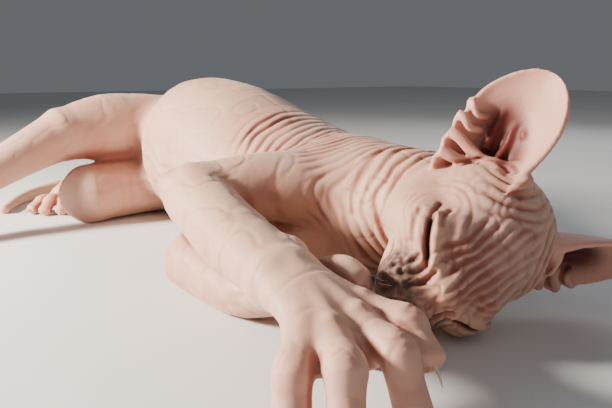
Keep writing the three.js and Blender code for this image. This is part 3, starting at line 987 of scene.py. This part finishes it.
def paw_relief(relief, points):
    """Tendons of the right forepaw, and creases over the knuckles of both forepaws."""
    for root, _, _ in FOREPAW_R["toes"]:
        end = (root[0], root[1], root[2] + TENDON_LIFT)
        relief.swell(bell(line_gap(points, [WRIST_TOP_R, end]), TENDON_WIDTH), TENDON_HEIGHT)
    for _, knuckle, _ in FOREPAW_R["toes"] + FOREPAW_L["toes"]:
        top = (knuckle[0], knuckle[1], knuckle[2] + KNUCKLE_TOP)
        near = 1 - ramp(np.linalg.norm(points - top, axis=1), 4, 9)
        cut_creases(relief, points, near, KNUCKLE_CRUMPLE)


def body_relief(points):
    """Folds of neck, chest, flank and belly, fine creases, and the relief of the forepaws."""
    relief = Relief(len(points))
    warp = 3.4 * noise(points, 27, 1.7) + 1.6 * noise(points, 11, 5.1)
    strength = 0.75 + 0.5 * noise(points, 22, 3.8)
    zones = fold_zones(points)
    for name, (way, bend, pitch, width, depth, red_and_shade) in BODY_FOLDS.items():
        phase = (points @ np.array(way, float) + bend * warp) / pitch
        relief.cut(zones[name] * valleys(phase, strength, width), depth, red_and_shade)
    cut_creases(relief, points, zones["neck"], NECK_CRUMPLE)
    cut_creases(relief, points, zones["arm"], ARM_CRUMPLE)
    cut_creases(relief, points, 1, BODY_CRUMPLE)
    relief.swell(noise(points, 19, 2.2), 0.5)
    paw_relief(relief, points)
    return relief


# The skin

class EarMarks:
    """For points near the ears: the gap to the sheet, and the place across and up on it."""

    def __init__(self, shells, points):
        verts = np.concatenate([shell[0] for shell in shells])
        marks = np.concatenate([np.array(shell[2], float) for shell in shells])
        tree = KDTree(len(verts))
        for i, vert in enumerate(verts):
            tree.insert(Vector(vert), i)
        tree.balance()
        self.gap = np.full(len(points), FAR)
        self.across, self.height, self.inner = np.zeros((3, len(points)))
        for verts_of_ear, _, _ in shells:
            low = verts_of_ear.min(axis=0) - EAR_MARGIN
            high = verts_of_ear.max(axis=0) + EAR_MARGIN
            for i in np.nonzero(np.all((points > low) & (points < high), axis=1))[0]:
                _, index, self.gap[i] = tree.find(Vector(points[i]))
                self.across[i], self.height[i], self.inner[i] = marks[index]


def fused_skin(ears):
    """Body and ears as one surface, laid exactly on the smooth body where it isn't an ear."""
    shells = [body_net()] + [shell[:2] for shell in ears]
    for shape in (EAR_RIGHT, EAR_LEFT):
        shells += ear_flaps(shape)
    piece = voxel_joined(joined("skin", shells), VOXEL)
    points = coordinates(piece.data)
    on_body = 1 - ramp(np.abs(body_distance(points)), 1.0, 1.8)
    for _ in range(2):
        points = points - (on_body * body_distance(points))[:, None] * normals_of(piece.data)
        set_coordinates(piece.data, points)
    return piece


def head_share(points):
    """1 on the head, 0 on the neck and body."""
    near = np.linalg.norm(points - HEAD_AT, axis=1) < HEAD_REACH
    share = np.zeros(len(points))
    share[near] = 1 - ramp(head_distance(points[near]), 1.0, 5.0)
    return share


def skin_relief(points, off_ear):
    share = head_share(points)
    relief = body_relief(points)
    on_head = share > 0
    head = head_relief(to_head(points[on_head]))
    for name in ("height", "crease", "groove_shade"):
        values = getattr(relief, name)
        values[on_head] += share[on_head] * (getattr(head, name) - values[on_head])
        setattr(relief, name, values * off_ear)
    return relief


def softened(points, edges, ear_gap):
    """Points with the feet and folds of the ears rounded off, and the whole skin a little."""
    at_foot = (1 - ramp(ear_gap, 3, 8)) * (1 - ramp(np.abs(body_distance(points)), 2, 5))
    points = smoothed(points, edges, 0.6 * at_foot, 10)
    points = smoothed(points, edges, 0.4 * (1 - ramp(ear_gap, 7, 11)), 5)
    return smoothed(points, edges, 0.25 * np.ones(len(points)), 2)


def raised(mesh, points, relief):
    """Points with the relief on them, but for the flats that lie on the floor."""
    off_floor = ramp(points[:, 2], 0.5, 6)
    points = points + (relief.height * off_floor)[:, None] * normals_of(mesh)
    points[:, 2] = np.maximum(points[:, 2], 0)
    return points


def build_skin():
    ears = [ear_shell(EAR_RIGHT), ear_shell(EAR_LEFT)]
    piece = fused_skin(ears)
    mesh = piece.data
    points = coordinates(mesh)
    marks = EarMarks(ears, points)
    points = softened(points, edge_pairs(mesh), marks.gap)
    set_coordinates(mesh, points)
    relief = skin_relief(points, ramp(marks.gap, 1.5, 6))
    points = raised(mesh, points, relief)
    set_coordinates(mesh, points)
    store_tints(mesh, points, relief, marks)
    mesh.shade_smooth()
    return piece


# Entrance of the canal on the sheet, painted near-black red as the shade inside the hollow: its middle
# across and up, its spread and its tilt
CANAL_MIDDLE = (-0.06, 0.45)
CANAL_SPREAD = (0.66, 0.26)
CANAL_TILT = 0.2

# Mauve middle of the brow, and the muzzle, darker from its own fur and from painted shade: middle and
# spread, in the head's own drawing
BROW_MIDDLE = (18, 0, 26)
BROW_SPREAD = (1.3, 1.2, 1.0)
MUZZLE_MIDDLE = (45, 0, -14)
MUZZLE_SPREAD = (1.0, 1.25, 1.0)

# How far off the skin a point is tried, to find the hollows between forms, where shade is painted
CAVITY_REACH = 5.0


def store_tints(mesh, points, relief, marks):
    """Shares that the skin's material reads, from 0 to 1 at each vertex."""
    # Hollows between limbs and in folds, found like ambient occlusion, for painted shade
    hollow = CAVITY_REACH - body_distance(points + CAVITY_REACH * normals_of(mesh))
    local = to_head(points)
    # Red tint of the creases, darkened as painted shade
    store(mesh, "crease", np.clip(relief.crease, 0, 1))
    # Near-black painted shade in the eye slits, nostrils and mouth line
    store(mesh, "groove_shade", np.clip(relief.groove_shade, 0, 1))
    store(mesh, "ear", 1 - ramp(marks.gap, 2, 8))
    # Painted shade in the ear canal
    store(mesh, "canal", canal_shade_mask(marks))
    # Painted shade in the hollows, kept off the ears
    store(mesh, "hollow_shade", ramp(hollow, 0.6, 3.2) * ramp(marks.gap, 4, 8))
    # Muzzle darkened, partly by its own darker fur, partly by painted shade
    store(mesh, "muzzle", muzzle_dark_and_shade_mask(local))
    store(mesh, "brow", 1 - ramp(spread_gap(local, BROW_MIDDLE, BROW_SPREAD), 12, 30))
    store(mesh, "paw", paw_mask(points))


def store(mesh, name, values):
    attribute = mesh.attributes.new(name, "FLOAT", "POINT")
    attribute.data.foreach_set("value", np.asarray(values, np.float32))


def spread_gap(local, middle, spread):
    return np.linalg.norm((local - middle) / spread, axis=1)


# Painted shade over the bottom of each cup, round the canal
def canal_shade_mask(marks):
    cup = marks.inner * (1 - ramp(marks.gap, 5, 12))
    aside = marks.across - CANAL_MIDDLE[0]
    above = marks.height - CANAL_MIDDLE[1] + CANAL_TILT * aside
    return cup * (1 - ramp(np.hypot(aside / CANAL_SPREAD[0], above / CANAL_SPREAD[1]), 0.5, 1.25))


# Muzzle darkened partly by its own fur and partly by painted shade
def muzzle_dark_and_shade_mask(local):
    pads = 1 - ramp(spread_gap(local, MUZZLE_MIDDLE, MUZZLE_SPREAD), 17, 24)
    return pads * ramp(local[:, 0], 25, 35) * (1 - ramp(local[:, 2], -5, 3))


def paw_mask(points):
    total = np.zeros(len(points))
    for paw in PAWS:
        for _, knuckle, tip in paw["toes"]:
            total = np.maximum(total, 1 - ramp(line_gap(points, [knuckle, tip]), 6, 20))
    return total


# Materials

class Nodes:
    """Short calls for the nodes of one material."""

    def __init__(self, name):
        self.material = bpy.data.materials.new(name)
        self.material.use_nodes = True
        self.tree = self.material.node_tree
        self.shader = self.tree.nodes["Principled BSDF"]
        self.place = self.node("ShaderNodeTexCoord").outputs["Object"]

    def node(self, kind, **settings):
        made = self.tree.nodes.new(kind)
        for key, value in settings.items():
            setattr(made, key, value)
        return made

    def link(self, start, end):
        self.tree.links.new(start, end)

    def attribute(self, name):
        return self.node("ShaderNodeAttribute", attribute_name=name).outputs["Fac"]

    def noise(self, scale, detail, rough=0.55):
        made = self.node("ShaderNodeTexNoise")
        made.inputs["Scale"].default_value = scale
        made.inputs["Detail"].default_value = detail
        made.inputs["Roughness"].default_value = rough
        self.link(self.place, made.inputs["Vector"])
        return made.outputs["Fac"]

    def cells(self, scale):
        made = self.node("ShaderNodeTexVoronoi", feature="DISTANCE_TO_EDGE")
        made.inputs["Scale"].default_value = scale
        self.link(self.place, made.inputs["Vector"])
        return made.outputs["Distance"]

    def level(self, value, low, high, to_low=0.0, to_high=1.0):
        made = self.node("ShaderNodeMapRange")
        self.link(value, made.inputs["Value"])
        made.inputs["From Min"].default_value = low
        made.inputs["From Max"].default_value = high
        made.inputs["To Min"].default_value = to_low
        made.inputs["To Max"].default_value = to_high
        return made.outputs["Result"]

    def product(self, first, second):
        made = self.node("ShaderNodeMath", operation="MULTIPLY")
        self.link(first, made.inputs[0])
        self.link(second, made.inputs[1])
        return made.outputs["Value"]

    def mix(self, share, first, second):
        made = self.node("ShaderNodeMix", data_type="RGBA")
        self.link(share, made.inputs["Factor"])
        for socket, value in ((made.inputs["A"], first), (made.inputs["B"], second)):
            if isinstance(value, tuple):
                socket.default_value = (*value, 1)
            else:
                self.link(value, socket)
        return made.outputs["Result"]

    def bump(self, height, strength, distance, before=None):
        made = self.node("ShaderNodeBump")
        made.inputs["Strength"].default_value = strength
        made.inputs["Distance"].default_value = distance
        self.link(height, made.inputs["Height"])
        if before is not None:
            self.link(before, made.inputs["Normal"])
        return made.outputs["Normal"]


SKIN_PALE = (0.56, 0.345, 0.26)
SKIN_PINK = (0.54, 0.245, 0.185)
SKIN_WARM = (0.60, 0.37, 0.25)
# Red of the folds, darkened as painted shade in them
FOLD_RED_AND_SHADE = (0.30, 0.095, 0.065)
BROW_MAUVE = (0.40, 0.27, 0.245)
EAR_ROSE = (0.60, 0.31, 0.25)
# Near-black red, painted as the shade deep in the ear canal
CANAL_PAINTED_SHADE = (0.10, 0.012, 0.009)
# Painted shade in the eye slits, nostrils and mouth line
GROOVE_PAINTED_SHADE = (0.035, 0.012, 0.01)
# Darker fur of the muzzle, with painted shade on it
MUZZLE_DARK_AND_SHADE = (0.075, 0.04, 0.032)
PAW_ROSE = (0.62, 0.33, 0.26)

# Tints over the skin, in turn: stored share, the low end it is read from, strongest share, colour. The
# crease tint is red darkened as painted shade; the hollow and canal tints are painted shade.
SKIN_TINTS = [
    ("paw", 0.0, 0.6, PAW_ROSE),
    ("brow", 0.0, 0.7, BROW_MAUVE),
    ("ear", 0.0, 0.85, EAR_ROSE),
    ("crease", 0.05, 0.85, FOLD_RED_AND_SHADE),
    ("hollow_shade", 0.0, 0.8, FOLD_RED_AND_SHADE),
    ("canal", 0.0, 1.0, CANAL_PAINTED_SHADE),
]
SKIN_SHADER = {
    "Subsurface Weight": 0.22,
    "Subsurface Radius": (1.0, 0.32, 0.18),
    "Subsurface Scale": 0.006,
    "Specular IOR Level": 0.35,
    "Sheen Weight": 0.12,
    "Sheen Roughness": 0.4,
}


def skin_colour(n):
    blotch = n.level(n.noise(28, 3), 0.4, 0.68, 0, 0.8)
    colour = n.mix(blotch, SKIN_PALE, SKIN_PINK)
    colour = n.mix(n.level(n.noise(11, 2), 0.45, 0.65, 0, 0.6), colour, SKIN_WARM)
    for name, low, share, tint in SKIN_TINTS:
        colour = n.mix(n.level(n.attribute(name), low, 1, 0, share), colour, tint)
    mottle = n.level(n.noise(260, 3), 0.3, 0.62, 0.55, 1.0)
    # Muzzle: its darker fur, mottled, with painted shade
    colour = n.mix(n.product(n.attribute("muzzle"), mottle), colour, MUZZLE_DARK_AND_SHADE)
    # Painted shade in the deep grooves of the face
    return n.mix(n.attribute("groove_shade"), colour, GROOVE_PAINTED_SHADE)


def skin_material():
    n = Nodes("bare_skin")
    shader = n.shader.inputs
    for name, value in SKIN_SHADER.items():
        shader[name].default_value = value
    n.link(skin_colour(n), shader["Base Color"])
    n.link(n.level(n.noise(90, 3), 0.3, 0.7, 0.5, 0.66), shader["Roughness"])
    normal = n.bump(n.noise(210, 5, 0.6), 0.35, 0.0006)
    normal = n.bump(n.cells(900), 0.18, 0.0002, normal)
    normal = n.bump(n.noise(1500, 2), 0.15, 0.0001, normal)
    n.link(normal, shader["Normal"])
    return n.material


def two_tone(name, scale, detail, band, tones, roughness):
    """Material of two tones mixed by a noise, which is read between the ends of the band."""
    n = Nodes(name)
    colour = n.mix(n.level(n.noise(scale, detail), *band), *tones)
    n.link(colour, n.shader.inputs["Base Color"])
    n.shader.inputs["Roughness"].default_value = roughness
    return n


def claw_material():
    n = two_tone("claw_horn", 160, 2, (0.3, 0.7), ((0.72, 0.62, 0.5), (0.55, 0.42, 0.33)), 0.32)
    n.link(n.bump(n.noise(700, 3), 0.2, 0.0001), n.shader.inputs["Normal"])
    return n.material


def hair_material():
    return two_tone("whisker", 300, 2, (0, 1), ((0.8, 0.78, 0.74), (0.62, 0.58, 0.54)), 0.4).material


def floor_material():
    return two_tone("pale_floor", 3, 3, (0.3, 0.7), ((0.66, 0.66, 0.66), (0.7, 0.7, 0.7)), 0.8).material


# Claws and hairs

# Claw: how far root, bend and point lie past the toe's tip, then its thickness and its least heights
CLAW_AT = (2.0, 7.5, 10.5)
CLAW_RADII = np.linspace(1.3, 0.15, 9) ** 0.8
CLAW_ROOT_LOW = 3.0
CLAW_BEND_LOW = 2.4
CLAW_POINT_LOW = 0.9
CLAW_ROOT_LIFT = 1.5
CLAW_BEND_LIFT = 1.2
CLAW_POINT_DROP = 1.5

# Hairs of the muzzle: how many a side, length, curl, thickness at root and end, middle they lean from
HAIRS_A_SIDE = 4
HAIR_LENGTH = (7, 15)
HAIR_CURL = 1.6
HAIR_RADII = (0.11, 0.03)
HAIR_FROM = np.array([20, 0, -3])
HAIR_STEPS = 10
HAIR_LOW = 0.5


def claws():
    shells = []
    for paw in PAWS:
        for _, knuckle, tip in paw["toes"]:
            knuckle, tip = np.array(knuckle, float), np.array(tip, float)
            way = (tip - knuckle) / np.linalg.norm(tip - knuckle)
            root, bend, point = (tip + way * past for past in CLAW_AT)
            root[2] = max(root[2], CLAW_ROOT_LOW) + CLAW_ROOT_LIFT
            bend[2] = max(bend[2], CLAW_BEND_LOW) + CLAW_BEND_LIFT
            point[2] = max(point[2] - CLAW_POINT_DROP, CLAW_POINT_LOW)
            path = catmull([root, bend, point], len(CLAW_RADII))
            shells.append(tapered(path, CLAW_RADII))
    return joined("claws", shells)


def hair_roots():
    return [(48, side * (10 + 2.4 * i), -12 - 2.5 * (i % 3))
            for side in (1, -1) for i in range(HAIRS_A_SIDE)]


def hairs():
    rng = np.random.default_rng(SEED + 1)
    shells = []
    for root in hair_roots():
        start = on_skin([root])[0]
        out = rows_unit(start - HAIR_FROM)
        out = rows_unit(out + np.array([0.1, 0.55 * np.sign(root[1]), 0.25]))
        length = rng.uniform(*HAIR_LENGTH)
        curl = rng.normal(0, 1, 3) * HAIR_CURL
        steps = np.linspace(-0.05, 1, HAIR_STEPS)
        path = from_head([start + out * length * t + curl * math.sin(2.4 * t) * t for t in steps])
        path[:, 2] = np.maximum(path[:, 2], HAIR_LOW)
        shells.append(tapered(path, np.linspace(*HAIR_RADII, HAIR_STEPS), 5))
    return joined("whiskers", shells)


# Floor, light and camera

CAMERA_AT = (0.3349, -0.2589, 0.130)
CAMERA_AZIMUTH = 55.0
CAMERA_PITCH = 12.0
FOCAL_PX = 620.0
PICTURE_WIDTH_PX = 612.0
SENSOR_MM = 36.0

FLOOR_SIZE = 8
WORLD_COLOUR = (0.80, 0.84, 0.9, 1)
WORLD_STRENGTH = 0.17

# Lights: name, place, target, size, power, colour
LIGHTS = [
    ("key", (-0.40, -0.82, 0.40), (0.08, -0.05, 0.05), 0.16, 42, (1.0, 0.91, 0.8)),
    ("fill", (0.9, -0.5, 0.9), (0.05, 0, 0.05), 0.9, 2.5, (1.0, 0.96, 0.92)),
    ("rim", (-0.3, 0.9, 0.7), (0, 0, 0.05), 0.7, 3, (0.9, 0.95, 1.0)),
]


def add_camera():
    data = bpy.data.cameras.new("camera")
    data.sensor_width = SENSOR_MM
    data.lens = FOCAL_PX / PICTURE_WIDTH_PX * SENSOR_MM
    data.clip_start = 0.01
    camera = bpy.data.objects.new("camera", data)
    camera.location = CAMERA_AT
    camera.rotation_euler = (math.radians(90 - CAMERA_PITCH), 0, math.radians(CAMERA_AZIMUTH))
    bpy.context.scene.collection.objects.link(camera)
    bpy.context.scene.camera = camera


def add_light(name, place, target, size, power, colour):
    data = bpy.data.lights.new(name, "AREA")
    data.size = size
    data.energy = power
    data.color = colour
    light = bpy.data.objects.new(name, data)
    light.location = place
    light.rotation_euler = (Vector(target) - Vector(place)).to_track_quat("-Z", "Y").to_euler()
    bpy.context.scene.collection.objects.link(light)


def add_stage():
    bpy.ops.mesh.primitive_plane_add(size=FLOOR_SIZE, location=(0, 0, 0))
    floor = bpy.context.object
    floor.name = "floor"
    floor.data.materials.append(floor_material())
    world = bpy.data.worlds.new("studio")
    world.use_nodes = True
    background = world.node_tree.nodes["Background"].inputs
    background["Color"].default_value = WORLD_COLOUR
    background["Strength"].default_value = WORLD_STRENGTH
    bpy.context.scene.world = world
    for light in LIGHTS:
        add_light(*light)


# Assembly

FLESH = [
    "torso", "neck", "head", "ear_right", "ear_left", "tail_base", "tail_tip",
    "foreleg_right_upper", "foreleg_right_lower", "forepaw_right",
    "foreleg_left_upper", "foreleg_left_lower", "forepaw_left",
    "hindleg_right_thigh", "hindleg_right_shank", "hindpaw_right",
    "hindleg_left_thigh", "hindleg_left_shank", "hindpaw_left",
]

add_camera()
add_stage()

skin = build_skin()
skin.data.materials.append(skin_material())
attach(skin, "root")
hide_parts(*FLESH)

claw_piece = claws()
claw_piece.data.materials.append(claw_material())
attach(claw_piece, "root")

whisker_piece = hairs()
whisker_piece.data.materials.append(hair_material())
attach(whisker_piece, "root")
